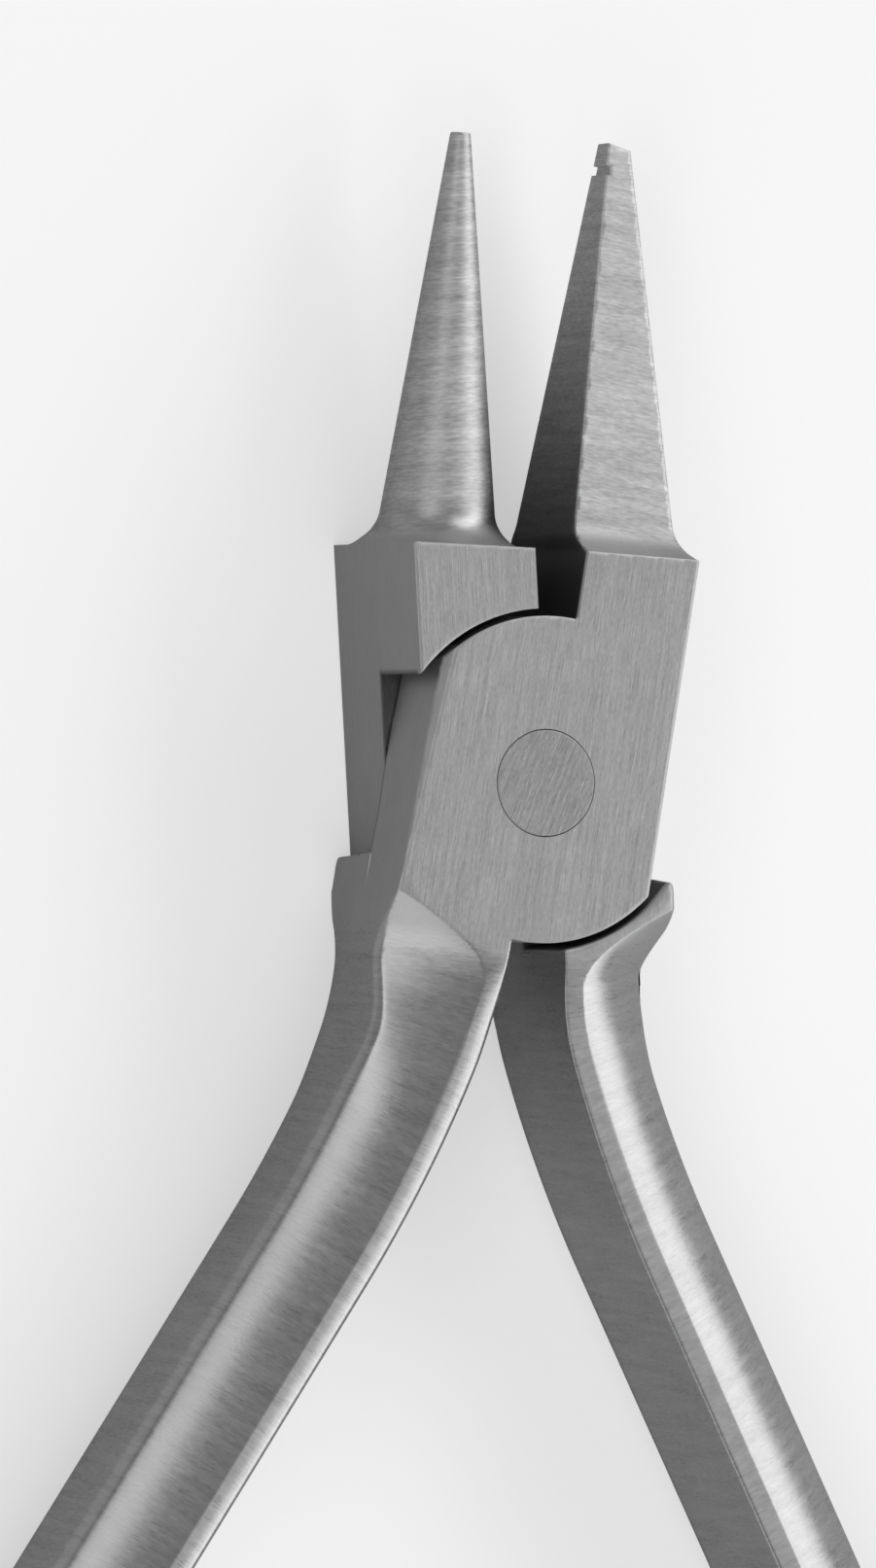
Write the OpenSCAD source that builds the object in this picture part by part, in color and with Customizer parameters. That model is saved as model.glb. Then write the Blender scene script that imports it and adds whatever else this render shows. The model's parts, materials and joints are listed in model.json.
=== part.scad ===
// Round nose pliers of the light wire kind: a round beak, a square beak, a riveted lap joint and bowed handles.
// Millimetres. The pliers lie on their back: X to the right, Y towards the tips, Z up out of the joint.
// The origin is on the pivot axis, in the plane of the joint's ground back faces.
// Each half is drawn closed and in its own frame, its lap plane at Z = 0, with the beak on the +X side, the handle
// on the -X side and the lap plate on the +Z side. The round half is that shape turned over about Y.

/* [Pose] */
// Angle between the halves as they lie, from closed beaks
open_angle = 12.9; // [0:0.1:40]

/* [Joint] */
// Thickness of the joint, face to face
joint_thickness = 10; // [8.6:0.2:12.6]
// Width of the joint over both heads
joint_width = 13; // [10.8:0.1:15.6]
// How far a lap plate's outer side stands in from the side of the other half's head
plate_inset = 0.15; // [0.05:0.05:0.4]
// How far the necks stand out beyond the joint's sides at the shoulder
neck_flare = 0.5; // [0:0.05:0.6]
// Radius of a lap plate's edge towards the beaks
plate_beak_radius = 8.35; // [6.9:0.05:10.1]
// Radius of a lap plate's edge towards the handles
plate_handle_radius = 8; // [6.6:0.05:9.6]
// Gap between a plate's edge and the shoulder that it turns in
shoulder_gap = 0.3; // [0.15:0.05:0.5]
// Gap between the two lap plates
lap_gap = 0.05; // [0.02:0.01:0.1]
// Break on the outer edge of a lap plate's ground face
plate_break = 0.35; // [0.1:0.05:0.6]

/* [Rivet] */
// Diameter of the rivet's shank
rivet_shank = 4; // [3:0.1:4.8]
// Diameter of its countersunk heads at the ground faces
rivet_head = 5.4; // [5:0.1:7]
// Depth of each countersunk head
rivet_head_depth = 1.1; // [0.6:0.1:2]
// Radial clearance of the rivet in the half that turns on it
rivet_clearance = 0.04; // [0.01:0.01:0.1]

/* [Head] */
// Height of a head's inner corner above the plate's edge
head_inner_height = 3.4; // [2.8:0.1:4.2]
// Height of a head's outer corner above the plate's edge
head_outer_height = 4.05; // [3.4:0.05:4.9]
// Distance of the square half's head from the centre line
square_head_gap = 0.35; // [0.1:0.05:0.6]
// Distance of the round half's head from the centre line
round_head_gap = 0.05; // [0.03:0.01:0.4]

/* [Beaks] */
// Height of the tips above the pivot
tip_height = 32.75; // [27:0.1:39]
// Distance of each closed beak from the centre line
beak_gap = 0.03; // [0.01:0.01:0.1]
// Radius of the round beak at its tip
round_tip_radius = 0.51; // [0.4:0.01:0.8]
// Radius of the round beak where its fillet starts
round_root_radius = 2.85; // [2.2:0.05:3]
// Width of the square beak at its tip
square_tip_width = 1.2; // [0.8:0.05:1.6]
// Width of the square beak where its fillet starts
square_root_width = 5.4; // [3.5:0.1:5.5]
// Thickness of the square beak at its tip
square_tip_thickness = 1.26; // [0.9:0.02:2]
// Thickness of the square beak where its fillet starts
square_root_thickness = 6.8; // [5:0.1:7.6]
// Slope of the square beak's end
square_tip_slope = 9; // [0:1:15]
// Fillet where a beak grows out of its head
beak_fillet = 1.7; // [0.8:0.1:2]
// Height of the wire groove across the square beak's inner face
groove_height = 0.46; // [0.3:0.02:0.6]
// Depth of the wire groove
groove_depth = 0.22; // [0.1:0.02:0.3]
// Distance of the wire groove from the tip
groove_from_tip = 1.15; // [0.8:0.05:3]

/* [Necks] */
// Distance of a neck's inner face from the centre line
neck_offset = 0.55; // [0.4:0.05:0.8]
// Height above the plate's handle-side edge down to which a neck keeps its full width
shoulder_height = 1.4; // [0.6:0.1:1.7]
// Length below that shoulder over which the ground face runs out into the narrow flats
fan_length = 3.8; // [2:0.1:6]
// Length below that shoulder at which a neck starts to bend out
neck_straight = 3.3; // [2:0.1:8]
// Radius of the bend, over its first and tighter part
neck_bend_radius = 20; // [16:1:40]
// Radius of the bend where it eases into the straight run
easing_radius = 70; // [40:1:100]
// Share of the slant that is left for the easing part
easing_share = 0.4; // [0.1:0.05:0.6]

/* [Handles] */
// Thickness of the handles below the necks
handle_thickness = 8.74; // [7:0.1:10.4]
// Thickness of the handles at their ends
handle_end_thickness = 8; // [6:0.1:9.6]
// Width of a handle from its inner face to its crown
handle_width = 5.9; // [4.6:0.05:6.6]
// Width of the flat along each edge of the inner face
strip_width = 1.05; // [0.5:0.05:1.6]
// Slant of the square half's handle
square_half_slant = 24.5; // [15:0.5:30]
// Slant of the round half's handle
round_half_slant = 22.6; // [15:0.1:30]
// Length of a handle's straight run
handle_straight = 24; // [15:1:40]
// Radius of the bow that brings a handle back in
bow_radius = 128; // [100:1:200]
// Length of the bowed run, to the handle's end
bow_length = 56; // [40:1:68]
// Length over which a handle's end is rounded off
end_rounding = 3.6; // [2:0.1:5]
// Rounding of the inner face's edges
inner_edge_radius = 0.3; // [0.1:0.05:0.45]

/* [Hidden] */
$fn = 96;

half_thickness = joint_thickness / 2;
half_width = joint_width / 2;
lap_face = lap_gap / 2;
plate_side = half_width - plate_inset;
neck_side = half_width + neck_flare;
neck_width = neck_side - neck_offset;
neck_shoulder = plate_handle_radius - shoulder_height;
head_inner_top = plate_beak_radius + head_inner_height;
head_outer_top = plate_beak_radius + head_outer_height;
shank_radius = rivet_shank / 2;
head_radius = rivet_head / 2;
join = 0.6;                    // how far the pieces of one forging run into each other
far = 60;                      // reach of the blocks that only trim
half_steel = [0.74, 0.75, 0.76];
rivet_steel = [0.64, 0.65, 0.67];

// ---- lap joint ----

// Outline struck from the pivot with one radius towards the beaks and another towards the handles
module struck_outline(beak_side, handle_side) {
    intersection() {
        circle(r = beak_side);
        translate([-far, 0]) square([2 * far, far]);
    }
    intersection() {
        circle(r = handle_side);
        translate([-far, -far]) square([2 * far, far + join]);
    }
}

// Everything inside a half's ground sides; the outer side of the plate flares down to the neck
module between_sides() {
    polygon([
        [half_width, -far], [half_width, far], [-plate_side, far], [-plate_side, plate_beak_radius - join],
        [-neck_side, -neck_shoulder], [-neck_side, -far]
    ]);
}

// The head over the joint, with a top that rises to its outer corner
module head_outline(inner_side) {
    polygon([[inner_side, 0], [half_width, 0], [half_width, head_outer_top], [inner_side, head_inner_top]]);
}

// The neck's block, down to its shoulder
module neck_outline() {
    translate([-neck_side, -neck_shoulder]) square([neck_width, neck_shoulder]);
}

// The layer of the lap plate: it reaches from the lap plane to the ground face
module plate_layer(inner_side) {
    translate([0, 0, lap_face]) linear_extrude(half_thickness - lap_face) union() {
        intersection() {
            between_sides();
            union() {
                struck_outline(plate_beak_radius, plate_handle_radius);
                neck_outline();
            }
        }
        head_outline(inner_side);
    }
}

// The layer under it: only the head and the neck reach the other ground face
module block_layer(inner_side) {
    translate([0, 0, -half_thickness]) linear_extrude(half_thickness + lap_face) union() {
        head_outline(inner_side);
        neck_outline();
    }
}

// Room for the other half's lap plate to turn in
module turning_space() {
    translate([0, 0, lap_face - far]) linear_extrude(far)
        struck_outline(plate_beak_radius + shoulder_gap, plate_handle_radius + shoulder_gap);
}

// Cutter that breaks the plate's ground edge along its flared side
module side_break() {
    run = plate_beak_radius - join + neck_shoulder;
    translate([-neck_side, -neck_shoulder, half_thickness])
        rotate([0, 0, -atan2(neck_side - plate_side, run)])
            rotate([0, -45, 0])
                translate([-join, 0, -plate_break / sqrt(2)])
                    cube([2 * join, run, join]);
}

// Countersunk hole for the rivet; play widens it all round
module rivet_hole(play) {
    shank = shank_radius + play;
    widest = head_radius + play;
    cone_top = half_thickness + join;
    grown = (head_radius - shank_radius) / rivet_head_depth * join;
    translate([0, 0, -far]) cylinder(r = shank, h = 2 * far);
    translate([0, 0, half_thickness - rivet_head_depth])
        cylinder(r1 = shank, r2 = widest + grown, h = rivet_head_depth + join);
}

// ---- handles ----

// A handle's inner face follows a line that runs straight down the neck, bends out, runs straight and bows back in.
// Its place and heading are functions of the distance s below the start, which lies inside the neck's block.
handle_start = neck_shoulder - join;
neck_run = neck_straight + join;

function tight_turn(slant) = slant * (1 - easing_share);
function easing_from(slant) = neck_run + neck_bend_radius * tight_turn(slant) * PI / 180;
function straight_from(slant) = easing_from(slant) + easing_radius * slant * easing_share * PI / 180;
function bow_from(slant) = straight_from(slant) + handle_straight;
function handle_length(slant) = bow_from(slant) + bow_length;

// Heading: the angle between the handle and straight down
function heading(s, slant) =
    s < neck_run ? 0 :
    s < easing_from(slant) ? (s - neck_run) / neck_bend_radius * 180 / PI :
    s < straight_from(slant) ? tight_turn(slant) + (s - easing_from(slant)) / easing_radius * 180 / PI :
    s < bow_from(slant) ? slant :
    slant - (s - bow_from(slant)) / bow_radius * 180 / PI;

// Place along one arc or straight that starts at point p with heading a
function along_straight(p, a, run) = p + run * [-sin(a), -cos(a)];
function along_arc(p, a, radius, b) =
    p + radius * [cos(b) - cos(a), sin(a) - sin(b)];

function neck_end() = [-neck_offset, -handle_start - neck_run];
function easing_start(slant) = along_arc(neck_end(), 0, neck_bend_radius, tight_turn(slant));
function bend_end(slant) = along_arc(easing_start(slant), tight_turn(slant), easing_radius, slant);
function bow_start(slant) = along_straight(bend_end(slant), slant, handle_straight);

function place(s, slant) =
    s < neck_run ? along_straight([-neck_offset, -handle_start], 0, s) :
    s < easing_from(slant) ? along_arc(neck_end(), 0, neck_bend_radius, heading(s, slant)) :
    s < straight_from(slant) ?
        along_arc(easing_start(slant), tight_turn(slant), easing_radius, heading(s, slant)) :
    s < bow_from(slant) ? along_straight(bend_end(slant), slant, s - straight_from(slant)) :
    along_arc(bow_start(slant), slant, -bow_radius, heading(s, slant));

function unit(x) = max(0, min(1, x));
function smooth(x) = unit(x) * unit(x) * (3 - 2 * unit(x));

// How the section changes along the handle
function below_shoulder(s) = s - join;
function thinning(s) = smooth(below_shoulder(s) / (2 * fan_length));
function crown_at(s) = neck_width + (handle_width - neck_width) * thinning(s);
function half_thickness_at(s, length) =
    half_thickness
    + (handle_thickness / 2 - half_thickness) * thinning(s)
    + (handle_end_thickness - handle_thickness) / 2 * unit((s - length + bow_length) / bow_length);
function strip_at(s) =
    strip_width + (crown_at(s) - join / 4 - strip_width) * pow(unit(1 - below_shoulder(s) / fan_length), 2);
function roundness_at(s) = 0.2 + 0.8 * smooth(below_shoulder(s) / fan_length);

// Section: a flat inner face with rounded edges, a flat along each edge, and a crown that is part of an ellipse.
// Each point is [distance out from the inner face, height].
crown_from = 70;               // where on the ellipse the crown leaves the flat
crown_steps = 8;
corner_step = 45;

function crown_point(angle, strip, crown, thick, roundness) =
    let (rise = (cos(angle) - cos(crown_from)) / (1 - cos(crown_from)))
    [strip + (crown - strip) * pow(unit(rise), roundness), thick * sin(angle) / sin(crown_from)];

function half_section(strip, crown, thick, roundness) = concat(
    [for (a = [180 : -corner_step : 90])
        [inner_edge_radius * (1 + cos(a)), thick - inner_edge_radius * (1 - sin(a))]],
    [for (i = [0 : crown_steps])
        crown_point(crown_from * (1 - i / crown_steps), strip, crown, thick, roundness)]
);

function mirrored(points) = [for (i = [len(points) - 2 : -1 : 0]) [points[i][0], -points[i][1]]];

// Shrinkage of the section over the rounded end
function end_scale(s, length) =
    let (left = unit((length - s) / end_rounding))
    sqrt(1 - (1 - left) * (1 - left));

function section(s, slant) =
    let (
        length = handle_length(slant),
        crown = crown_at(s),
        upper = half_section(strip_at(s), crown, half_thickness_at(s, length), roundness_at(s)),
        scale = end_scale(s, length),
        a = heading(s, slant),
        p = place(s, slant)
    )
    [for (q = concat(upper, mirrored(upper)))
        let (out = crown / 2 + (q[0] - crown / 2) * scale)
        [p[0] - out * cos(a), p[1] + out * sin(a), q[1] * scale]];

// Places of the sections: close together down the neck and round the end, wider apart on the even runs
neck_stations = 16;
bend_stations = 12;
bow_stations = 14;
end_angles = [0, 20, 40, 56, 68, 76];

function stations(slant) =
    let (
        length = handle_length(slant),
        neck = join + 2 * fan_length,
        bend = straight_from(slant),
        bow = bow_from(slant),
        even_end = length - end_rounding
    )
    concat(
        [for (i = [0 : neck_stations - 1]) neck * i / neck_stations],
        bend > neck ? [for (i = [0 : bend_stations - 1]) neck + (bend - neck) * i / bend_stations] : [],
        [max(bend, neck)],
        [for (i = [0 : bow_stations - 1]) bow + (even_end - bow) * i / bow_stations],
        [for (b = end_angles) even_end + end_rounding * sin(b)]
    );

module handle(slant) {
    rings = [for (s = stations(slant)) section(s, slant)];
    n = len(rings[0]);
    last = len(rings) - 1;
    points = [for (ring = rings) each ring];
    sides = [for (i = [0 : last - 1], j = [0 : n - 1])
        let (a = i * n + j, b = i * n + (j + 1) % n)
        each [[a, b + n, b], [a, a + n, b + n]]];
    start = [[for (j = [0 : n - 1]) j]];
    end = [[for (j = [n - 1 : -1 : 0]) last * n + j]];
    polyhedron(points, concat(start, sides, end));
}

// ---- beaks ----

fillet_top = head_outer_top + beak_fillet;
beak_run = tip_height - fillet_top;

// Concave corner piece of the fillet, right of x and standing on y
module fillet_corner(x, y) {
    difference() {
        translate([x - join, y - join]) square([join + beak_fillet, join + beak_fillet]);
        translate([x + beak_fillet, y + beak_fillet]) circle(r = beak_fillet);
    }
}

// Trims a beak to the sides and faces of its head
module over_head() {
    translate([beak_gap, head_inner_top - join, -half_thickness])
        cube([half_width - beak_gap, far, joint_thickness]);
}

// The round beak: a cone leant so that its inner side runs along the centre line
module round_beak() {
    lean = atan2(round_root_radius - round_tip_radius, beak_run);
    axial_run = beak_run / cos(lean);
    growth = (round_root_radius - round_tip_radius) / axial_run;
    below = beak_fillet + 2 * join;
    edge = round_tip_radius / 4;
    intersection() {
        over_head();
        translate([beak_gap + round_tip_radius * cos(lean), tip_height, 0])
            rotate([0, 0, lean]) rotate([90, 0, 0]) rotate_extrude() union() {
                polygon([
                    [0, 0], [round_tip_radius - edge, 0], [round_tip_radius + edge * growth, edge],
                    [round_root_radius, axial_run], [round_root_radius + below * growth, axial_run + below],
                    [0, axial_run + below]
                ]);
                translate([0, axial_run + beak_fillet]) mirror([0, 1]) fillet_corner(round_root_radius, 0);
            }
    }
}

// The square beak: its plan and its side view, each with fillets, cut each other out
module square_beak() {
    below = beak_fillet + 2 * join;
    width_growth = (square_root_width - square_tip_width) / beak_run;
    thickness_growth = (square_root_thickness - square_tip_thickness) / 2 / beak_run;
    root_half = square_root_thickness / 2;
    intersection() {
        over_head();
        translate([beak_gap, 0, -far / 2]) linear_extrude(far) union() {
            polygon([
                [0, fillet_top - below], [0, tip_height],
                [square_tip_width, tip_height - square_tip_width * tan(square_tip_slope)],
                [square_root_width, fillet_top], [square_root_width + below * width_growth, fillet_top - below]
            ]);
            fillet_corner(square_root_width, fillet_top - beak_fillet);
        }
        rotate([0, -90, 0]) translate([0, 0, -far / 2]) linear_extrude(far) union() {
            polygon([
                [-square_tip_thickness / 2, tip_height], [square_tip_thickness / 2, tip_height],
                [root_half, fillet_top], [root_half + below * thickness_growth, fillet_top - below],
                [-root_half - below * thickness_growth, fillet_top - below], [-root_half, fillet_top]
            ]);
            for (side = [0, 1]) mirror([side, 0]) fillet_corner(root_half, fillet_top - beak_fillet);
        }
    }
}

// Groove across the square beak's inner face, that a wire is held in
module wire_groove() {
    translate([-far, tip_height - groove_from_tip - groove_height, -far / 2])
        cube([far + beak_gap + groove_depth, groove_height, far]);
}

// ---- the three pieces ----

// What both halves share, in a half's own frame
module half_forging(inner_side, slant) {
    difference() {
        plate_layer(inner_side);
        side_break();
    }
    difference() {
        union() {
            block_layer(inner_side);
            handle(slant);
        }
        turning_space();
    }
}

// Lifts a piece so that the joint's back faces lie at Z = 0
module laid_down() {
    translate([0, 0, half_thickness]) children();
}

module square_beak_half() color(half_steel) laid_down() rotate([0, 0, -open_angle / 2]) difference() {
    union() {
        half_forging(square_head_gap, square_half_slant);
        square_beak();
    }
    wire_groove();
    rivet_hole(0);
}

module round_beak_half() color(half_steel) laid_down() rotate([0, 0, open_angle / 2]) rotate([0, 180, 0]) difference() {
    union() {
        half_forging(round_head_gap, round_half_slant);
        round_beak();
    }
    rivet_hole(rivet_clearance);
}

// One shank with a countersunk head at each end, ground flush with both faces
module pivot_rivet() color(rivet_steel) laid_down() {
    cylinder(r = shank_radius, h = joint_thickness - join, center = true);
    for (turned = [0, 180]) rotate([0, turned, 0]) translate([0, 0, half_thickness - rivet_head_depth])
        cylinder(r1 = shank_radius, r2 = head_radius, h = rivet_head_depth);
}

square_beak_half();
round_beak_half();
pivot_rivet();
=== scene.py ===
import json
import math

import bpy
import numpy as np
from mathutils import Matrix, Vector

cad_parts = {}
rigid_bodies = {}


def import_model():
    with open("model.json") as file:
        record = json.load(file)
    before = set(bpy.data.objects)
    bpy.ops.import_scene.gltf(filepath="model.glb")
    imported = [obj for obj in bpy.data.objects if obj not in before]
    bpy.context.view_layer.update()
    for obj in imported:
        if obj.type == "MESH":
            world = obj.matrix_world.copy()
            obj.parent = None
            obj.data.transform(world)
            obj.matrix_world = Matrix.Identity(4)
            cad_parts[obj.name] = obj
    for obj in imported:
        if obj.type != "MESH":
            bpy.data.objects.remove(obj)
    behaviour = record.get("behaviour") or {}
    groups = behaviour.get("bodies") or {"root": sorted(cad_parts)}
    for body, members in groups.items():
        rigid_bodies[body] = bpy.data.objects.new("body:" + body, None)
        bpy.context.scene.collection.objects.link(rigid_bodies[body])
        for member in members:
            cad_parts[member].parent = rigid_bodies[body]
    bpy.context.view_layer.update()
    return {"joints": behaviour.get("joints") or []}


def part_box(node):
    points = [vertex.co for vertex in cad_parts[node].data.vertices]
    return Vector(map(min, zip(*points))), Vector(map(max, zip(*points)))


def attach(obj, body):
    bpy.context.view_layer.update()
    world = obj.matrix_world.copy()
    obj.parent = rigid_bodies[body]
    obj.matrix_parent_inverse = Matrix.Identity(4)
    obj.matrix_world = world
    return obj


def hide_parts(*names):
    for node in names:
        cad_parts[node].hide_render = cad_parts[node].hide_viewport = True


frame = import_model()
print("frame loaded")

mm = 0.001                                  # everything below is worked out in millimetres

joint = frame["joints"][0]
pivot = Vector(joint["pos_m"]) / mm
openAngle = -joint["range_deg"][0]          # degrees between the halves as they lie
rivetLow, rivetHigh = (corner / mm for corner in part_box("pivot_rivet"))
halfThickness = (rivetHigh.z - rivetLow.z) / 2

# The camera looks from in front and leans over to one side
view = {
    "tilt": 24.0,        # how far the camera leans over to the round beak's side
    "lean": 3.1,         # turn of the picture about the line of sight
    "distance": 600.0,
    "seenHeight": 78.3,  # height of the picture at the joint's front face
    "pivotRight": 5.4,   # where the pivot lies from the middle of the picture
    "pivotUp": 0.05,
    "sensor": 36.0,
}


def makeCamera(v):
    # the line of sight is upright, tilted sideways; the shifts set the pivot's front face off the middle
    lean, tilt = math.radians(v["lean"]), math.radians(v["tilt"])
    up = Vector((-math.sin(lean), math.cos(lean), 0))
    flatRight = Vector((math.cos(lean), math.sin(lean), 0))
    towards = Vector((0, 0, 1)) * math.cos(tilt) - flatRight * math.sin(tilt)
    right = up.cross(towards)
    front = pivot + Vector((0, 0, halfThickness))
    target = front - right * v["pivotRight"] - up * v["pivotUp"]
    data = bpy.data.cameras.new("camera")
    data.sensor_fit = "VERTICAL"
    data.sensor_height = v["sensor"]
    data.lens = v["sensor"] * v["distance"] / v["seenHeight"]
    data.clip_start = 0.01
    data.clip_end = 20
    camera = bpy.data.objects.new("camera", data)
    turn = Matrix((right, up, towards)).transposed().to_4x4()
    camera.matrix_world = Matrix.Translation((target + towards * v["distance"]) * mm) @ turn
    bpy.context.scene.collection.objects.link(camera)
    bpy.context.scene.camera = camera
    print("camera placed")


makeCamera(view)


# A shape is a field: a function of x, y and z that is negative inside it, and about the distance outside
def sharpMax(*parts):
    # what lies in all of them, with sharp edges
    out = parts[0]
    for part in parts[1:]:
        out = np.maximum(out, part)
    return out


def roundMax(a, b, r):
    # what lies in both, with the edge between them rounded to radius r
    over = np.hypot(np.maximum(a + r, 0), np.maximum(b + r, 0))
    return np.minimum(np.maximum(a, b), -r) + over


def roundMin(a, b, r):
    # what lies in either, with the corner between them filled to radius r
    over = np.hypot(np.maximum(r - a, 0), np.maximum(r - b, 0))
    return np.maximum(np.minimum(a, b), r) - over


def smoothStep(x):
    # three times the square less twice the cube, held between 0 and 1
    x = np.clip(x, 0, 1)
    return x * x * (3 - 2 * x)


def lineSide(x, y, start, end):
    # distance to the left of the line from start to end
    along = np.subtract(end, start) / np.hypot(*np.subtract(end, start))
    return (y - start[1]) * along[0] - (x - start[0]) * along[1]


# The joint and what grows out of it, in a half's own frame: closed, its lap plane at z = 0, its beak on the
# +x side, its handle on the -x side and its lap plate on the +z side
forging = {
    "halfWidth": 6.5,          # from the centre line to a head's outer side
    "plateSide": 6.35,         # to the lap plate's side at its top, from where it flares down to the neck
    "plateSideDrop": 0.6,      # how far below the plate's rim that top lies
    "plateBeakRadius": 8.35,
    "plateHandleRadius": 8.0,
    "lapGap": 0.05,
    "layerLap": 0.25,          # how far the two layers of a half run into each other
    "headInnerTop": 11.75,
    "headOuterTop": 12.4,
    "headEasing": 1.0,         # height over which a head's inner side runs over to the beak's
    "edge": 0.0,               # rounding of the head's edges
    "neckOffset": 0.55,
    "neckShoulder": 6.6,
    "neckTop": 3.0,
    "leanFrom": 2.0,           # below this the plate's side leans over to the neck's
    "leanOver": 6.0,
    "hole": 2.705,
    "breakTop": 0.5,           # width of the broken edge along the plate's side, at its top
    "breakBottom": 0.04,
    "creaseRound": 0.3,        # wear on the edge between the handle's crown and its wall
    "creaseFrom": 0.4,
    "creaseOver": 2.0,
    "hornFrom": -9.0,          # above this the shoulder's horn is blunted towards the ground face
    "hornOver": 3.0,
}

beaks = {
    "tip": 32.75,
    "gap": 0.03,               # from the centre line to each closed beak
    "fillet": 1.7,
    "roundTip": 0.51,
    "roundRoot": 2.85,
    "tipEdge": 0.05,
    "squareTipWidth": 1.2,
    "squareRootWidth": 5.4,
    "squareTipThickness": 1.26,
    "squareRootThickness": 6.8,
    "squareTipSlope": 9,
    "squareEdge": 0.0,
    "grooveFromTip": 1.15,
    "grooveHeight": 0.46,
    "grooveDepth": 0.22,
    "grooveEdge": 0.03,
}

handles = {
    "start": 6.0,
    "join": 0.6,               # length along its path at which the section starts to change
    "neckRun": 3.9,
    "bendRadius": 20,
    "easeRadius": 70,
    "easeShare": 0.4,          # share of the slant that the easier bend takes
    "straight": 24,
    "bowRadius": 128,
    "bowLength": 56,
    "thickness": 8.74,
    "endThickness": 8.0,
    "thinFrom": 8.9,           # distance from the pivot where the neck starts to thin
    "thinOver": 4.6,
    "thinStart": 0.75,
    "strip": 1.05,             # width of the ground flat along the inner edge
    "fan": 3.8,                # length over which that flat fans out over the neck
    "fanInset": 0.15,
    "backOut": 0.5,            # how much wider the flat is on the back
    "crownLeaves": 13,         # degrees between the flat and the crown
    "fullTo": 11,              # length over which the neck's fuller crown runs out
    "fullFrom": 2,
    "neckLean": 0.045,
    "innerFall": 1.4,
    "innerOver": 1.5,
    "creaseWidth": 0.22,
    "creaseOver": 3.0,
    "endRounding": 3.6,
    "leastEnd": 0.08,
    "sampling": 0.05,
}

# What differs from half to half
squareHalf = {
    "name": "square_beak_steel",
    "node": "square_beak_half",
    "turnedOver": False,
    "innerSide": 0.27,         # from the centre line to the head's inner side
    "slant": 24.5,
    "innerEdge": 0.35,
    "innerDrop": 0.6,
    "innerOut": 0.55,
    "crownRadius": 10,
    "neckCrown": 26,
    "wall": 5.6,               # from the inner face to the outer wall
    "wallLean": 0.12,
    "creaseDepth": 0.09,
    "hornRound": 0.25,
    "hornEdge": 0.9,
    "shoulderGap": 0.12,
    "neckSide": 7.05,
    "slimFrom": 1.5,
    "groundTo": 34,            # height up to which flat faces have the ground finish
}

roundHalf = {
    "name": "round_beak_steel",
    "node": "round_beak_half",
    "turnedOver": True,
    "innerSide": -0.1,
    "slant": 22.6,
    "innerEdge": 0.08,
    "innerDrop": 0.0,
    "innerOut": 0.0,
    "crownRadius": 7.4,
    "neckCrown": 7.4,
    "wall": 5.62,
    "wallLean": 0.229,
    "creaseDepth": 0.0,
    "hornRound": 0.6,
    "hornEdge": 0.3,
    "shoulderGap": 0.37,
    "neckSide": 7.25,
    "slimFrom": 2.8,
    "groundTo": 12.6,
}


def pathOf(h, slant):
    # the heading grows with the length round a tight bend and an easier one, holds, and falls again round the
    # bow; the places are the running sum of the steps along that heading
    most = math.radians(slant) * (1 - h["easeShare"])
    rest = math.radians(slant) * h["easeShare"]
    ease = h["neckRun"] + h["bendRadius"] * most
    bow = ease + h["easeRadius"] * rest + h["straight"]
    above = h["start"] - forging["neckTop"]
    s = np.arange(-above, bow + h["bowLength"] + h["sampling"], h["sampling"])
    turn = np.clip((s - h["neckRun"]) / h["bendRadius"], 0, most)
    turn = turn + np.clip((s - ease) / h["easeRadius"], 0, rest)
    turn = turn - np.clip(s - bow, 0, None) / h["bowRadius"]
    middle = (turn[1:] + turn[:-1]) / 2
    x = -forging["neckOffset"] - np.concatenate([[0], np.cumsum(np.sin(middle))]) * h["sampling"]
    y = -forging["neckTop"] - np.concatenate([[0], np.cumsum(np.cos(middle))]) * h["sampling"]
    return {"s": s, "x": x, "y": y, "turn": turn, "length": bow + h["bowLength"]}


def alongHandle(x, y, path):
    # the length s at which the offset from the path is square to it, found by walking; that offset t,
    # outwards; and how far the place lies past the path's end
    s = np.interp(-y, -path["y"], path["s"])
    for _ in range(4):
        px, py, turn = (np.interp(s, path["s"], path[key]) for key in ("x", "y", "turn"))
        step = -(x - px) * np.sin(turn) - (y - py) * np.cos(turn)
        s = np.clip(s + step, path["s"][0], path["length"])
    px, py, turn = (np.interp(s, path["s"], path[key]) for key in ("x", "y", "turn"))
    t = -(x - px) * np.cos(turn) + (y - py) * np.sin(turn)
    beyond = -(x - px) * np.sin(turn) - (y - py) * np.cos(turn)
    return s, t, beyond


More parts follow.
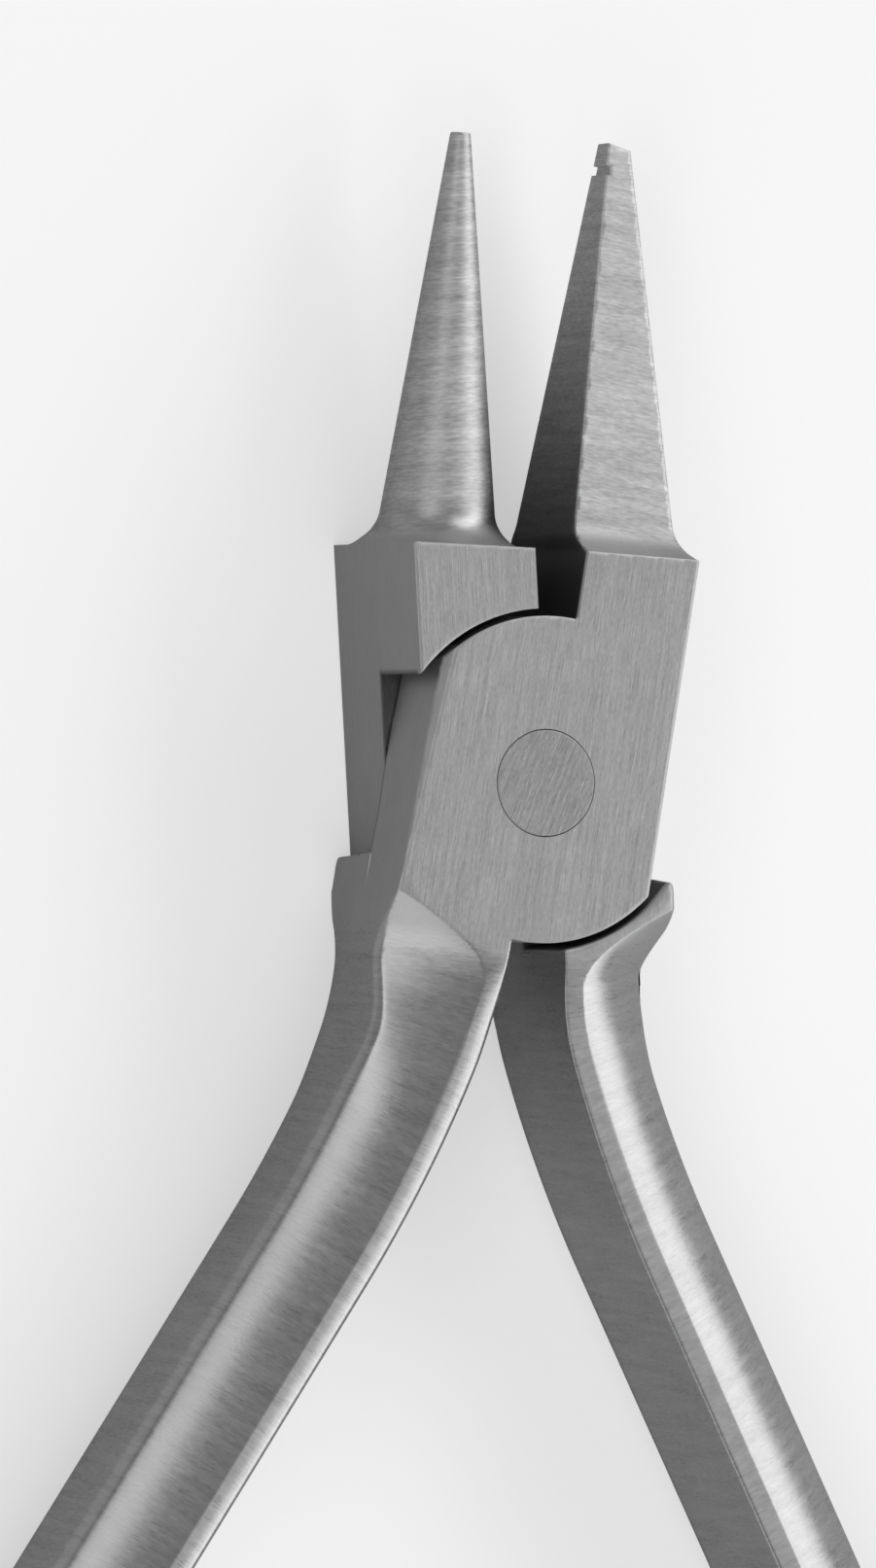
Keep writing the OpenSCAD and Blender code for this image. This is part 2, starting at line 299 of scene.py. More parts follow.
def handleField(x, y, z, half, path):
    # section: a flat inner face; flats at front and back, as wide as the strip; a crown, an arc that leaves
    # the flat at a slight angle; and an outer wall, which it meets in a crease. Towards the joint the strip
    # widens, so the ground face fans out over the neck. Gives the wall by itself, then all the rest
    h = handles
    s, t, beyond = alongHandle(x, y, path)
    front = -z if half["turnedOver"] else z
    below = s - h["join"]
    neckWidth = half["neckSide"] - forging["neckOffset"]

    # thickness: the joint's at the neck, then the handle's, then less over the bow
    bow = np.clip((s - path["length"] + h["bowLength"]) / h["bowLength"], 0, 1)
    thinZ = smoothStep(np.clip((np.hypot(x, y) - h["thinFrom"]) / h["thinOver"], 0, 1) ** h["thinStart"])
    thick = halfThickness + (h["thickness"] / 2 - halfThickness) * np.where(y < 0, thinZ, 0)
    thick = thick + (h["endThickness"] - h["thickness"]) / 2 * bow

    # the end closes in a half round: the section is drawn larger there, round its middle
    left = np.clip((path["length"] - s) / h["endRounding"], 0, 1)
    shrink = np.maximum(np.sqrt(1 - (1 - left) ** 2), h["leastEnd"])
    centre = half["wall"] / 2
    t = centre + (t - centre) / shrink
    z, front = z / shrink, front / shrink

    # outer wall, from the neck's side to the handle's
    neckWall = neckWidth - h["neckLean"] * (halfThickness - z)
    slim = smoothStep((below - half["slimFrom"]) / (2 * h["fan"]))
    wall = neckWall + (half["wall"] - half["wallLean"] * front - neckWall) * slim

    # flat and crown
    fan = np.clip(1 - below / h["fan"], 0, 1) ** 2
    strip = h["strip"] + (neckWidth - h["fanInset"] - h["strip"]) * fan
    leave = math.radians(h["crownLeaves"])
    out = t - strip - np.where(front < 0, h["backOut"], 0) * smoothStep(below / (2 * h["fan"]))
    fuller = 1 - smoothStep((below - h["fullFrom"]) / h["fullTo"])
    radius = half["crownRadius"] + (half["neckCrown"] - half["crownRadius"]) * fuller
    crown = np.hypot(out + radius * math.sin(leave), np.abs(z) - thick + radius * math.cos(leave)) - radius
    crown = np.where(out > 0, crown, np.abs(z) - thick)

    # worn inner edge, the cut under the neck, the handle's end and the crease
    soft = half["innerEdge"] * smoothStep(below / (h["innerOver"] * h["fan"]))
    fallen = np.clip((h["innerFall"] - t) / h["innerFall"], 0, h["innerOver"]) ** 2 * half["innerDrop"] * soft
    rest = roundMax(-t - half["innerOut"] * soft, crown + fallen, soft)
    rest = sharpMax(rest * shrink, np.where(s < path["length"], -1, beyond), y + forging["neckTop"])
    near = np.exp(-((t - wall) ** 2 + crown ** 2) / h["creaseWidth"] ** 2)
    crease = half["creaseDepth"] * smoothStep(below / h["creaseOver"]) * near
    return (t - wall) * shrink + crease, rest + crease


def roundBeakField(x, y, z):
    # a cone leant so that its inner side runs along the centre line
    b = beaks
    run = b["tip"] - forging["headOuterTop"] - b["fillet"]
    lean = math.atan2(b["roundRoot"] - b["roundTip"], run)
    x = x - b["gap"] - b["roundTip"] * math.cos(lean)
    down = (y - b["tip"]) * -math.cos(lean) + x * math.sin(lean)
    across = x * math.cos(lean) + (y - b["tip"]) * math.sin(lean)
    growth = (b["roundRoot"] - b["roundTip"]) / run * math.cos(lean)
    side = (np.hypot(across, z) - b["roundTip"] - growth * down) * math.cos(math.atan(growth))
    return roundMax(side, -down, b["tipEdge"])


def squareBeakField(x, y, z):
    # a four-sided pyramid with one upright side along the centre line, and a wire groove across that side
    b = beaks
    root = forging["headOuterTop"] + b["fillet"]
    x = x - b["gap"]
    outer = -lineSide(x, y, (b["squareRootWidth"], root), (b["squareTipWidth"], b["tip"]))
    atRoot, atTip = b["squareRootThickness"] / 2, b["squareTipThickness"] / 2
    faces = -lineSide(np.abs(z), y, (atRoot, root), (atTip, b["tip"]))
    slope = math.radians(b["squareTipSlope"])
    end = (y - b["tip"]) * math.cos(slope) + x * math.sin(slope)
    edge = b["squareEdge"]
    body = roundMax(roundMax(roundMax(outer, faces, edge), -x, edge), end, edge)
    middle = b["tip"] - b["grooveFromTip"] - b["grooveHeight"] / 2
    groove = sharpMax(np.abs(y - middle) - b["grooveHeight"] / 2, x - b["grooveDepth"])
    return roundMax(body, -groove, b["grooveEdge"])


def halfField(x, y, z, half, path):
    # what lies in the plate's layer or in the layer under it, less the rivet's hole
    f = forging
    edge = f["edge"]
    lap = f["lapGap"] / 2
    rho = np.hypot(x, y)
    plateRadius = np.where(y > 0, f["plateBeakRadius"], f["plateHandleRadius"])
    plateTop = f["plateBeakRadius"] - f["plateSideDrop"]
    flared = lineSide(x, y, (-half["neckSide"], -f["neckShoulder"]), (-f["plateSide"], plateTop))
    leaning = smoothStep((f["leanFrom"] - y) / f["leanOver"])
    flared = flared + handles["neckLean"] * (halfThickness - z) * leaning
    top = lineSide(x, y, (half["innerSide"], f["headInnerTop"]), (f["halfWidth"], f["headOuterTop"]))

    # head and beak: fillet between the beak and the head's top, then trimmed to the head's sides
    beak = roundBeakField(x, y, z) if half["turnedOver"] else squareBeakField(x, y, z)
    grown = roundMin(beak, top, beaks["fillet"])
    easing = smoothStep((y - f["headInnerTop"]) / f["headEasing"])
    innerSide = half["innerSide"] + (beaks["gap"] - half["innerSide"]) * easing
    sides = roundMax(x - f["halfWidth"], innerSide - x, edge)
    head = roundMax(roundMax(grown, sides, edge), np.abs(z) - halfThickness, edge)
    head = sharpMax(head, -y)

    # lap plate, joined to the head in plan
    plate = sharpMax(rho - plateRadius, x - f["halfWidth"], flared)
    headPlan = roundMax(sides, top, edge)
    plan = np.minimum(plate, sharpMax(headPlan, -y))
    plate = sharpMax(plan, z - halfThickness)

    # neck and handle, kept behind the plate's side and its broken edge on the plate's layer
    wall, handle = handleField(x, y, z, half, path)
    besidePlate = y > -f["neckShoulder"]
    share = np.clip((y + f["neckShoulder"]) / (2 * f["neckShoulder"]), 0, 1)
    width = f["breakBottom"] + (f["breakTop"] - f["breakBottom"]) * share
    broken = np.where(besidePlate, (flared + z - halfThickness + width) / math.sqrt(2), -1)
    worn = f["creaseRound"] * smoothStep((-y - f["neckShoulder"] - f["creaseFrom"]) / f["creaseOver"])
    above = np.minimum(plate, sharpMax(roundMax(handle, wall, worn), np.where(besidePlate, flared, -1)))
    above = sharpMax(np.minimum(sharpMax(above, broken), head), lap - z)

    # the other half's lap plate turns in what is cut away under the lap plane
    space = rho - plateRadius - half["shoulderGap"]
    horn = roundMax(wall, -space, half["hornRound"])
    blunt = half["hornEdge"] * smoothStep((y - f["hornFrom"]) / f["hornOver"])
    below = np.minimum(head, roundMax(handle, horn, np.maximum(blunt, worn)))
    body = np.minimum(above, sharpMax(below, -space, z - lap - f["layerLap"]))
    return sharpMax(body, f["hole"] - rho)


netting = {
    "left": -8.3,              # the block of samples, before it leans with the handle
    "right": 6.9,
    "headFrom": -13,           # below this the steps along y grow from the head's to the handle's
    "across": 0.14,
    "headStep": 0.14,
    "handleStep": 0.6,
    "easingSteps": 12,
    "leanBelow": 8,
    "depthCoarse": 0.3,
    "depthFine": 0.1,
    "depthReach": 0.3,         # how near a ground face or the lap plane the fine steps start
    "before": 0.3,             # how far the block goes past the front face, and past the back
    "behind": 0.25,
    "margin": 0.5,
    "settled": 0.05,           # least squared slope that a walk divides by
    "walk": 0.15,              # longest step of a walk
    "held": 0.08,              # pull of a cell's middle on its vertex
    "reach": 0.16,             # longest way from that middle
    "shading": 0.03,           # step over which the shading normals are taken
    "rimAcross": 0.12,
    "rimDeep": 0.09,
    "edgeShare": 0.65,         # how much of its own normal a vertex lends where faces meet in an edge
    "edgeFrom": 0.74,
    "edgeOver": 0.16,
    "slab": 64,                # rows of the block that are worked out at once
}


def slopeOf(field, p, step=0.01):
    # difference of the field ahead and behind, over the step, along each axis
    out = np.empty_like(p)
    for axis in range(3):
        ahead, behind = p.copy(), p.copy()
        ahead[:, axis] += step
        behind[:, axis] -= step
        out[:, axis] = (field(*ahead.T) - field(*behind.T)) / (2 * step)
    return out


def settle(field, p, rounds):
    # walks every vertex down the slope of the field, onto the surface itself
    for _ in range(rounds):
        slope = slopeOf(field, p)
        steep = np.maximum((slope ** 2).sum(axis=1), netting["settled"])
        move = (field(*p.T) / steep)[:, None] * slope
        size = np.linalg.norm(move, axis=1, keepdims=True)
        p = p - move * np.minimum(1, netting["walk"] / np.maximum(size, 1e-9))
    return p


def netOf(values, places, field):
    # one quad round every crossed edge of the block, and one vertex in every crossed cell, where the planes
    # that touch the surface at the cell's crossings come closest to meeting, by least squares, so that edges
    # stay crisp
    inside = values < 0
    shape = np.array(values.shape) - 1
    crossings, cells, owners = [], [], []
    before = 0
    for axis in range(3):
        low = [slice(None)] * 3
        high = [slice(None)] * 3
        low[axis], high[axis] = slice(None, -1), slice(1, None)
        a, b = values[tuple(low)], values[tuple(high)]
        index = np.argwhere(inside[tuple(low)] != inside[tuple(high)])
        at = tuple(index.T)
        place = index.astype(float)
        place[:, axis] += a[at] / (a[at] - b[at])
        u, v = (axis + 1) % 3, (axis + 2) % 3
        ring = []
        for du, dv in ((-1, -1), (0, -1), (0, 0), (-1, 0)):
            cell = index.copy()
            cell[:, u] += du
            cell[:, v] += dv
            ring.append(np.ravel_multi_index(cell.T, shape))
        ring = np.stack(ring, axis=1)
        outward = a[at] < 0
        ring[~outward] = ring[~outward][:, ::-1]
        crossings.append(place)
        cells.append(ring)
        owners.append(np.repeat(np.arange(before, before + len(index)), 4))
        before += len(index)
    rings = np.concatenate(cells)
    used, number = np.unique(rings.ravel(), return_inverse=True)
    owners = np.concatenate(owners)
    p = settle(field, places(np.concatenate(crossings)), 2)
    slope = slopeOf(field, p)
    slope /= np.maximum(np.linalg.norm(slope, axis=1, keepdims=True), 1e-9)

    def summed(weights):
        return np.bincount(number, weights[owners], len(used))

    count = np.bincount(number, minlength=len(used))
    middle = np.stack([summed(p[:, i]) for i in range(3)], axis=1) / count[:, None]
    level = (slope * p).sum(axis=1)
    grid = np.empty((len(used), 3, 3))
    for i in range(3):
        for j in range(3):
            grid[:, i, j] = summed(slope[:, i] * slope[:, j])
    right = np.stack([summed(slope[:, i] * level) for i in range(3)], axis=1)
    right -= np.einsum("nij,nj->ni", grid, middle)
    grid += np.eye(3) * netting["held"]
    move = np.linalg.solve(grid, right[:, :, None])[:, :, 0]
    size = np.linalg.norm(move, axis=1, keepdims=True)
    near = np.minimum(1, netting["reach"] / np.maximum(size, 1e-9))
    return middle + move * near, number.reshape(-1, 4), slope


def graded(low, high, coarse, fine, marks, reach):
    # points from low to high, fine near the marks and coarse elsewhere
    points = [low]
    while points[-1] < high:
        near = min(abs(points[-1] - m) for m in marks)
        share = min(max((near - reach) / (2 * reach), 0), 1)
        points.append(points[-1] + fine + (coarse - fine) * share)
    return np.array(points)


# Painted shade: the colour is darkened where the beaks face each other, and where the lapped faces and
# shoulders turn, where shade falls between the halves
paintedShadeZones = {
    "from": 6,                 # heights between which it lies on the beaks, and the length it fades out over
    "to": 27,
    "over": 19,
    "facing": 2.0,
    "facingFrom": 0.6,
    "lapDeep": 0.15,
    "shoulderNear": 0.08,
    "shoulderTo": 0.1,
    "faceClear": 0.3,          # how far it stays off the ground face
}


def paintedShadeOn(p, normals, half):
    # painted shade, full on the lapped faces and shoulders, and on sides that face the other beak, where it
    # fades upwards
    h = paintedShadeZones
    facing = smoothStep(-normals[:, 0] * h["facing"] - h["facingFrom"])
    betweenBeaks = facing * (p[:, 1] > h["from"]) * smoothStep((h["to"] - p[:, 1]) / h["over"])
    radius = np.where(p[:, 1] > 0, forging["plateBeakRadius"], forging["plateHandleRadius"])
    turned = np.abs(np.hypot(p[:, 0], p[:, 1]) - half["shoulderGap"] - radius) < h["shoulderNear"]
    turned = turned & (p[:, 2] < h["shoulderTo"]) & (p[:, 2] > h["faceClear"] - halfThickness)
    lapped = (np.abs(p[:, 2]) < h["lapDeep"]) & (normals[:, 2] < -0.5)
    return np.maximum(betweenBeaks, lapped | turned)


# How far under the pivot the marks begin to follow the handle, and over what length
marked = {"handleFrom": 8, "handleOver": 4}


def forgedHalf(half):
    # a half is one field sampled on a block of points that leans with the handle; its net is then walked onto
    # the surface, its normals are the field's slope, and it is turned from its own frame to how it lies
    n = netting
    path = pathOf(handles, half["slant"])
    lowest = path["y"].min() - 2 * n["margin"]
    xs = np.arange(n["left"], n["right"], n["across"])
    headY = np.arange(n["headFrom"], beaks["tip"] + n["margin"], n["headStep"])
    easing = np.linspace(n["headStep"], n["handleStep"], n["easingSteps"]).cumsum()
    handleTop = n["headFrom"] - easing[-1] - n["handleStep"]
    handleY = np.concatenate([n["headFrom"] - easing, np.arange(handleTop, lowest, -n["handleStep"])])
    ys = np.concatenate([handleY[::-1], headY])
    zs = graded(-halfThickness - n["behind"], halfThickness + n["before"], n["depthCoarse"], n["depthFine"],
                (-halfThickness, 0, halfThickness), n["depthReach"])
    shift = np.interp(-ys, -path["y"], path["x"] + forging["neckOffset"])
    shift = np.where(ys > -n["leanBelow"], 0, shift)

    def places(index):
        i, j, k = index.T
        x = np.interp(i, np.arange(len(xs)), xs) + np.interp(j, np.arange(len(ys)), shift)
        y = np.interp(j, np.arange(len(ys)), ys)
        return np.stack([x, y, np.interp(k, np.arange(len(zs)), zs)], axis=1)

    def field(x, y, z):
        return halfField(x, y, z, half, path)

    block = np.empty((len(xs), len(ys), len(zs)), np.float32)
    for start in range(0, len(ys), n["slab"]):
        part = slice(start, start + n["slab"])
        x = (xs[:, None] + shift[None, part])[:, :, None]
        y = ys[None, part, None]
        x, y, z = np.broadcast_arrays(x, y, zs[None, None, :])
        block[:, part, :] = field(x, y, z)
    p, quads, face = netOf(block, places, field)
    p = settle(field, p, 1)
    slope = slopeOf(field, p, n["shading"])
    normals = slope / np.maximum(np.linalg.norm(slope, axis=1, keepdims=True), 1e-9)

    # the hole's rims are drawn on their true circle
    rho = np.hypot(p[:, 0], p[:, 1])
    atFace = np.abs(np.abs(p[:, 2]) - halfThickness) < n["rimDeep"]
    rim = (np.abs(rho - forging["hole"]) < n["rimAcross"]) & atFace
    p[rim, :2] *= (forging["hole"] / rho[rim])[:, None]
    p[rim, 2] = np.sign(p[rim, 2]) * halfThickness
    normals[rim] = np.stack([0 * rho[rim], 0 * rho[rim], np.sign(p[rim, 2])], axis=1)

    # the marks follow the half: across, along and through it
    s, t, _ = alongHandle(p[:, 0], p[:, 1], path)
    onHandle = smoothStep((-p[:, 1] - marked["handleFrom"]) / marked["handleOver"])[:, None]
    bent = np.stack([-t - forging["neckOffset"], -handles["start"] - s, p[:, 2]], axis=1)
    marks = p + (bent - p) * onHandle
    # painted shade between the halves, carried on the mesh for the material to darken the colour
    paintedShadeMask = paintedShadeOn(p, normals, half)

    # a vertex on an edge lends its own normal only in part to the faces beside it
    own = normals[quads]
    agree = (own * face[:, None]).sum(axis=2, keepdims=True)
    share = n["edgeShare"] + (1 - n["edgeShare"]) * smoothStep((agree - n["edgeFrom"]) / n["edgeOver"])
    normals = (face[:, None] + (own - face[:, None]) * share).reshape(-1, 3)
    normals /= np.linalg.norm(normals, axis=1, keepdims=True)

    angle = -math.radians(openAngle / 2)
    if half["turnedOver"]:
        p, normals = p * (-1, 1, -1), normals * (-1, 1, -1)
        angle = -angle
    cosine, sine = math.cos(angle), math.sin(angle)
    turn = np.array([[cosine, -sine, 0], [sine, cosine, 0], [0, 0, 1]])
    p, normals = p @ turn.T + np.array(pivot), normals @ turn.T
    print(half["name"], "has", len(quads), "quads")
    return p * mm, quads, normals, marks, paintedShadeMask


def carry(mesh, marks, paintedShadeMask):
    # the mesh carries what its material reads: the marks' own measure, and the painted shade
    measure = mesh.attributes.new("marks", "FLOAT_VECTOR", "POINT")
    measure.data.foreach_set("vector", marks.astype(np.float32).ravel())
    dark = mesh.attributes.new("paintedShadeMask", "FLOAT", "POINT")
    dark.data.foreach_set("value", paintedShadeMask.astype(np.float32))


def meshObject(name, verts, quads, normals, marks, paintedShadeMask):
    # quads straight from the arrays, with a normal of its own at each corner
    mesh = bpy.data.meshes.new(name)
    mesh.vertices.add(len(verts))
    mesh.vertices.foreach_set("co", np.ascontiguousarray(verts, np.float32).ravel())
    mesh.loops.add(quads.size)
    mesh.loops.foreach_set("vertex_index", np.ascontiguousarray(quads, np.int32).ravel())
    mesh.polygons.add(len(quads))
    mesh.polygons.foreach_set("loop_start", np.arange(0, quads.size, 4, dtype=np.int32))
    mesh.update(calc_edges=True)
    mesh.validate()
    mesh.polygons.foreach_set("use_smooth", np.ones(len(mesh.polygons), bool))
    mesh.normals_split_custom_set(normals.tolist())
    carry(mesh, marks, paintedShadeMask)
    obj = bpy.data.objects.new(name, mesh)
    bpy.context.scene.collection.objects.link(obj)
    return obj


rivet = {
    "radius": 2.66,
    "edge": 0.05,
    "edgeSteps": 5,
    "rings": 6,                # on its end, between these shares of the radius
    "ringsFrom": 0.35,
    "ringsTo": 0.97,
    "headDepth": 0.6,
    "shankRadius": 2.0,
    "shankDepth": 1.3,
    "segments": 128,
    "sharpFrom": 40,
    "marksTurn": 20,           # degrees that its marks are turned by
}


def makeRivet(r):
    # half profile from near the middle of the front end down to the shank, mirrored, and carried round
    arc = np.radians(np.linspace(90, 0, r["edgeSteps"]))
    rim = r["radius"] - r["edge"] * (1 - np.cos(arc))
    corner = np.stack([rim, halfThickness - r["edge"] * (1 - np.sin(arc))], 1)
    rings = np.linspace(r["ringsFrom"], r["ringsTo"], r["rings"]) * r["radius"]
    face = np.stack([rings, np.full(r["rings"], halfThickness)], 1)
    seat = [r["radius"], halfThickness - r["headDepth"]]
    shank = [r["shankRadius"], halfThickness - r["shankDepth"]]
    upper = np.concatenate([face, corner, [seat, shank]])
    profile = np.concatenate([upper, upper[::-1] * (1, -1)])
    n = r["segments"]
    turn = np.linspace(0, 2 * math.pi, n, endpoint=False)
    across, along = profile[:, None, 0] * np.cos(turn), profile[:, None, 0] * np.sin(turn)
    ringed = np.stack([across, along, np.repeat(profile[:, None, 1], n, 1)], axis=2).reshape(-1, 3)
    i, j = np.meshgrid(np.arange(len(profile) - 1), np.arange(n), indexing="ij")
    a, b = i * n + j, i * n + (j + 1) % n
    quads = np.stack([a, a + n, b + n, b], axis=2).reshape(-1, 4)
    caps = [list(range(n)), list(range(len(profile) * n - 1, (len(profile) - 1) * n - 1, -1))]
    verts = ringed + np.array(pivot)
    mesh = bpy.data.meshes.new("rivet_steel_piece")
    mesh.from_pydata((verts * mm).tolist(), [], quads.tolist() + caps)
    mesh.validate()
    mesh.polygons.foreach_set("use_smooth", np.ones(len(mesh.polygons), bool))
    turned = Matrix.Rotation(math.radians(r["marksTurn"]), 3, "Z")
    carry(mesh, verts @ np.array(turned).T, np.zeros(len(verts)))
    obj = bpy.data.objects.new("ground_rivet", mesh)
    bpy.context.scene.collection.objects.link(obj)
    mesh.set_sharp_from_angle(angle=math.radians(r["sharpFrom"]))
    return obj


# One socket of a shader, so that sums on it add the nodes that do them
class Wire:
    def __init__(self, tree, socket=None):
        self.tree = tree
        self.socket = socket

    def node(self, kind, settings=None, output=0, **values):
        # adds a node, its settings first, and gives one output; _0 is its first input, and _ is a space
        made = self.tree.nodes.new(kind)
        for key, value in (settings or {}).items():
            setattr(made, key, value)
        for key, value in values.items():
            target = made.inputs[int(key[1:]) if key.startswith("_") else key.replace("_", " ")]
            if isinstance(value, Wire):
                self.tree.links.new(value.socket, target)
            else:
                target.default_value = value
        return Wire(self.tree, made.outputs[output]) if made.outputs else None

    def maths(self, operation, a, b=0.0):
        return self.node("ShaderNodeMath", {"operation": operation}, _0=a, _1=b)

    def __add__(self, other):
        return self.maths("ADD", self, other)

    def __radd__(self, other):
        return self.maths("ADD", other, self)

    def __sub__(self, other):
        return self.maths("SUBTRACT", self, other)

    def __rsub__(self, other):
        return self.maths("SUBTRACT", other, self)

    def __mul__(self, other):
        return self.maths("MULTIPLY", self, other)

    def __rmul__(self, other):
        return self.maths("MULTIPLY", other, self)


def shaderOf(owner):
    # an empty node tree, as a wire with no socket yet
    owner.use_nodes = True
    owner.node_tree.nodes.clear()
    return Wire(owner.node_tree)


studio = {
    "ceiling": 0.26,           # light of the room itself
    "floorSize": 16.0,
    "floorDrop": 0.00005,      # keeps the floor clear of the steel on it; metres, as all of the stage
    "floorSeen": 0.86,
    "floorLift": 0.45,         # glow that the camera sees, which keeps the floor pale
    "floorMirrored": 0.64,     # what the steel sees of it
}


def grey(level):
    return (level, level, level, 1)


def makeStage(s):
    # a floor that the camera sees paler than the steel does, and a room that is white only to the camera
    size = s["floorSize"] / 2
    mesh = bpy.data.meshes.new("floor")
    corners = [(-size, -size, 0), (size, -size, 0), (size, size, 0), (-size, size, 0)]
    mesh.from_pydata(corners, [], [(0, 1, 2, 3)])
    floor = bpy.data.objects.new("floor", mesh)
    floor.location.z = -s["floorDrop"]
    bpy.context.scene.collection.objects.link(floor)
    material = bpy.data.materials.new("pale_floor")
    shader = shaderOf(material)
    looked = shader.node("ShaderNodeLightPath", output="Is Camera Ray")
    seen = shader.node("ShaderNodeBsdfDiffuse", Color=grey(s["floorSeen"]))
    lift = shader.node("ShaderNodeEmission", Strength=s["floorLift"])
    lifted = shader.node("ShaderNodeAddShader", _0=seen, _1=lift)
    mirrored = shader.node("ShaderNodeBsdfDiffuse", Color=grey(s["floorMirrored"]))
    mixed = shader.node("ShaderNodeMixShader", _0=looked, _1=mirrored, _2=lifted)
    shader.node("ShaderNodeOutputMaterial", Surface=mixed)
    floor.data.materials.append(material)

    world = bpy.data.worlds.new("studio")
    bpy.context.scene.world = world
    shader = shaderOf(world)
    looked = shader.node("ShaderNodeLightPath", output="Is Camera Ray")
    dim = shader.node("ShaderNodeBackground", Strength=s["ceiling"])
    white = shader.node("ShaderNodeBackground")
    mixed = shader.node("ShaderNodeMixShader", _0=looked, _1=dim, _2=white)
    shader.node("ShaderNodeOutputWorld", Surface=mixed)
    bpy.context.scene.view_settings.view_transform = "Standard"
    print("stage built")


softboxes = {
    "key": {"towards": (0.85, 0.0, 0.53), "width": 0.34, "length": 0.9, "distance": 0.55, "radiance": 1.22},
    "fill": {"towards": (-0.64, 0.0, 0.77), "width": 0.22, "length": 0.9, "distance": 0.6, "radiance": 0.9},
    "low": {"towards": (-0.25, -0.89, 0.39), "width": 0.6, "length": 0.45, "distance": 0.6, "radiance": 0.8},
    "high": {"towards": (0.5, 0.75, 0.5), "width": 0.4, "length": 0.3, "distance": 0.6, "radiance": 1.2},
}


def softbox(name, towards, width, length, distance, radiance):
    # a panel square to the way it lies from the pliers
    data = bpy.data.lights.new(name, "AREA")
    data.shape = "RECTANGLE"
    data.size = width
    data.size_y = length
    data.energy = radiance * math.pi * width * length
    light = bpy.data.objects.new(name, data)
    towards = Vector(towards).normalized()
    across = Vector((0, 1, 0)).cross(towards).normalized()
    along = towards.cross(across)
    turn = Matrix((across, along, towards)).transposed().to_4x4()
    light.matrix_world = Matrix.Translation(towards * distance) @ turn
    bpy.context.scene.collection.objects.link(light)


makeStage(studio)
for lampName, lamp in softboxes.items():
    softbox(lampName, **lamp)
print("lights hung")


forgedSteel = {
    "colour": (0.62, 0.62, 0.625),
    "jointFrom": -8.0,         # the ground joint reaches from here up to jointTo
    "jointTo": 12.6,
    "fadeBelow": 1.2,          # lengths that the joint's marks, the ground finish and the beak's run out over
    "fadeAbove": 0.4,
    "fadeGround": 0.5,
    "fadeBeak": 2.0,
    "flatFrom": 0.98,          # how level a face is where the ground finish starts, and where it is full
    "flatFull": 0.998,
    "rough": 0.3,
    "groundRough": 0.52,
    "beakRough": 0.25,         # what the beaks are rougher by
    "cloudRough": 0.1,
    "hairRough": 0.25,
    "broadRough": 0.14,
    # painted light: how much lighter faces turned to the front are drawn on the beaks and on the joint
    "beakPaintedLight": 0.28,
    "jointPaintedLight": 0.08,
    "beakHairs": 0.6,          # how much stronger the cross marks are on the beaks
    # how far the painted shade between the halves darkens the colour
    "paintedShadeDepth": 0.72,
    "streaks": 0.95,           # strength of the long grinding marks
    "broadShare": 0.5,
    "speckShare": 0.5,
    "offFlat": 0.3,            # share of those marks that faces at an angle keep
    "hairs": 0.6,              # strength of the cross marks
    "brushShare": 0.8,
    "clouds": 0.14,
    "hairDepth": 0.006,
    "streakDepth": 0.003,
    "cloud": ((1, 0.6, 1), 0.5, 3.0),          # stretch across, along and through; scale; detail
    "fine": ((1, 0.03, 1), 26.0, 3.0),
    "broad": ((1, 0.02, 1), 6.0, 2.0),
    "speck": ((1, 0.25, 1), 14.0, 2.0),
    "hair": ((0.22, 1, 0.22), 9.0, 4.0),
    "brushed": ((0.1, 1, 0.1), 2.2, 3.0),
}

rivetSteel = {
    **forgedSteel,
    "colour": (0.54, 0.54, 0.545),
    "jointFrom": -20,
    "jointTo": 20,
    "groundTo": 20,
    "streaks": 1.45,
}


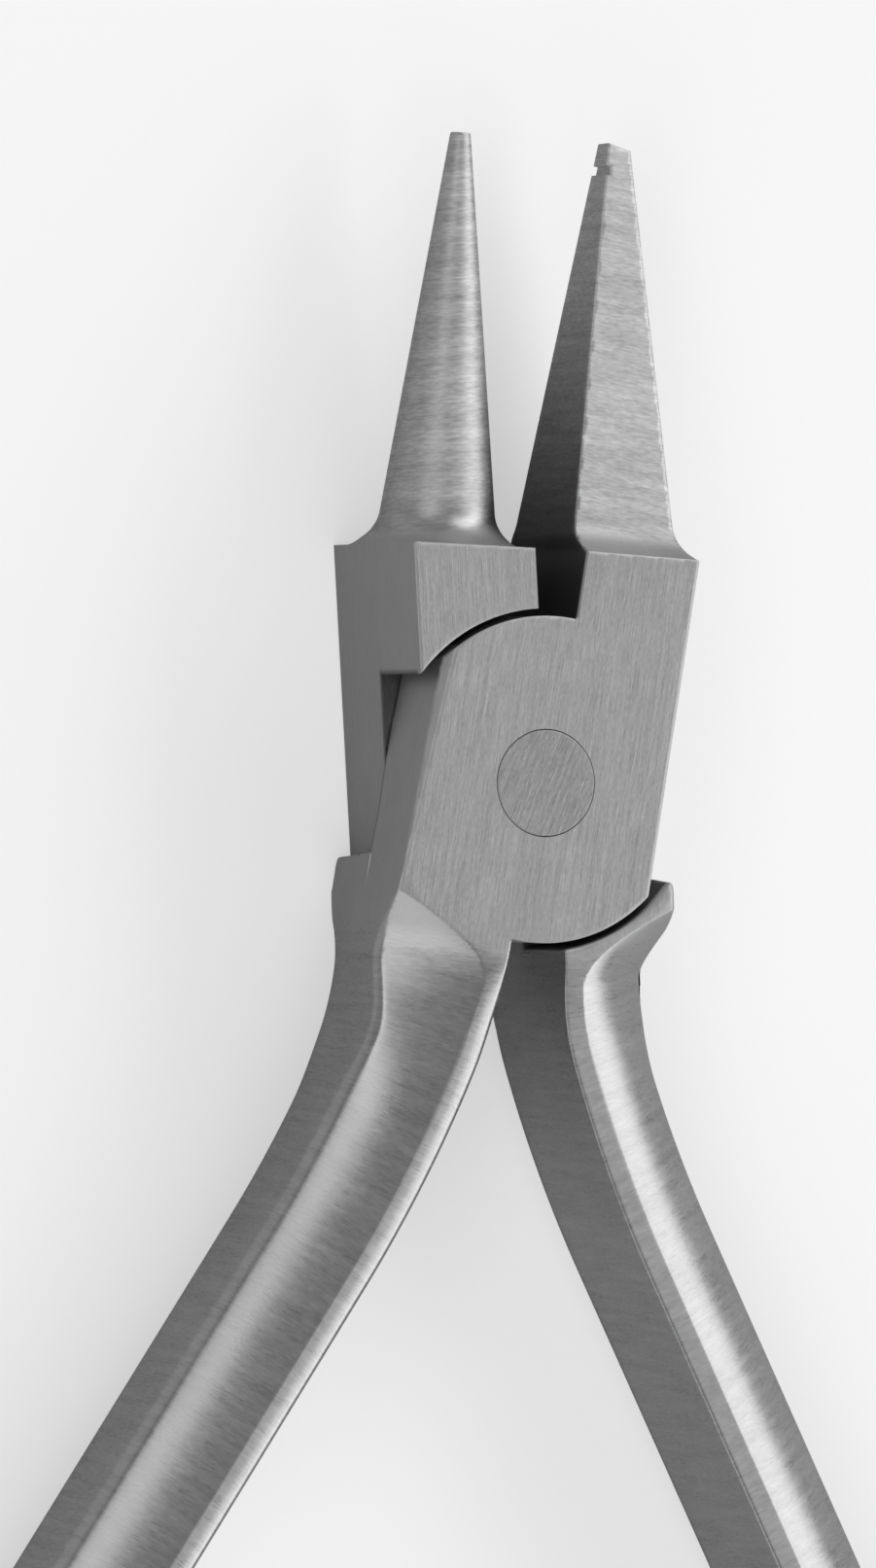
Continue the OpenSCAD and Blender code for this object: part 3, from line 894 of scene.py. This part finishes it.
def steelMaterial(name, look):
    # steel ground flat on the joint, with long fine marks along the half, and polished across on the beaks
    # and handles, with short fine marks round them; the marks run in the measure that the mesh carries
    material = bpy.data.materials.new(name)
    shader = shaderOf(material)
    own = shader.node("ShaderNodeAttribute", {"attribute_name": "marks"}, "Vector")
    # painted shade: the mask darkens the colour where shade falls between the halves
    paintedShadeDepth = shader.node("ShaderNodeAttribute", {"attribute_name": "paintedShadeMask"}, "Fac") * look["paintedShadeDepth"]
    normal = shader.node("ShaderNodeNewGeometry", output="Normal")
    along = shader.node("ShaderNodeSeparateXYZ", output="Y", Vector=own)
    upright = shader.maths("ABSOLUTE", shader.node("ShaderNodeSeparateXYZ", output="Z", Vector=normal))

    def ranged(value, low, high):
        # 0 at low and 1 at high, whichever is the greater
        return shader.node("ShaderNodeMapRange", {"clamp": True}, Value=value, From_Min=low, From_Max=high)

    def noise(stretch, scale, detail):
        drawn = shader.node("ShaderNodeMapping", Vector=own, Scale=stretch)
        return shader.node("ShaderNodeTexNoise", Vector=drawn, Scale=scale, Detail=detail, Roughness=0.6)

    flat = ranged(upright, look["flatFrom"], look["flatFull"])
    onJoint = ranged(along, look["jointFrom"] - look["fadeBelow"], look["jointFrom"])
    joint = onJoint * ranged(along, look["jointTo"] + look["fadeAbove"], look["jointTo"])
    groundBelow = ranged(along, look["groundTo"] + look["fadeGround"], look["groundTo"])
    ground = shader.maths("MAXIMUM", onJoint, flat) * groundBelow
    beak = ranged(along, look["jointTo"], look["jointTo"] + look["fadeBeak"])
    cloud, fine, broad = noise(*look["cloud"]), noise(*look["fine"]), noise(*look["broad"])
    speck, hair, brushed = noise(*look["speck"]), noise(*look["hair"]), noise(*look["brushed"])

    # every pattern swings about a half, so a half is taken off before it lightens or darkens the steel
    streaks = (fine - 0.5) + (broad - 0.5) * look["broadShare"] + (speck - 0.5) * look["speckShare"]
    streaks = streaks * (look["streaks"] * (look["offFlat"] + (1 - look["offFlat"]) * flat))
    across = (hair - 0.5) * look["hairs"] + (brushed - 0.5) * look["hairs"] * look["brushShare"]
    onBeak = 1.0 + look["beakHairs"] * beak
    shade = 1.0 + streaks * joint + across * (1.0 - joint) * onBeak + (cloud - 0.5) * look["clouds"]
    # painted light: faces turned to the front are drawn lighter on the beaks and the joint
    shade = shade * (1.0 + (beak * look["beakPaintedLight"] + joint * look["jointPaintedLight"]) * upright)
    # painted shade darkens the colour between the halves
    shade = shade * (1.0 - paintedShadeDepth)
    tint = shader.node("ShaderNodeVectorMath", {"operation": "SCALE"}, _0=look["colour"], Scale=shade)

    polish = look["rough"] + (cloud - 0.5) * look["cloudRough"] + across * look["hairRough"]
    polish = polish + beak * look["beakRough"]
    grind = look["groundRough"] + (broad - 0.5) * look["broadRough"]
    bumpAcross = shader.node("ShaderNodeBump", Height=hair * look["hairDepth"], Distance=mm)
    bumpAlong = shader.node("ShaderNodeBump", Height=fine * look["streakDepth"], Distance=mm)

    def steel(rough, bump):
        return shader.node("ShaderNodeBsdfPrincipled", Base_Color=tint, Metallic=1.0, Roughness=rough,
                           Normal=bump)

    polishedSteel, groundSteel = steel(polish, bumpAcross), steel(grind, bumpAlong)
    mixed = shader.node("ShaderNodeMixShader", _0=ground, _1=polishedSteel, _2=groundSteel)
    shader.node("ShaderNodeOutputMaterial", Surface=mixed)
    return material


def show(obj, material, body, node):
    # gives a piece its material and its body, in the place of its node
    obj.data.materials.clear()
    obj.data.materials.append(material)
    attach(obj, body)
    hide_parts(node)


for half, body in ((squareHalf, joint["parent"]), (roundHalf, joint["child"])):
    finish = steelMaterial(half["name"] + "_finish", {**forgedSteel, "groundTo": half["groundTo"]})
    show(meshObject(half["name"], *forgedHalf(half)), finish, body, half["node"])
finish = steelMaterial("rivet_finish", rivetSteel)
show(makeRivet(rivet), finish, joint["parent"], "pivot_rivet")
print("pieces made")
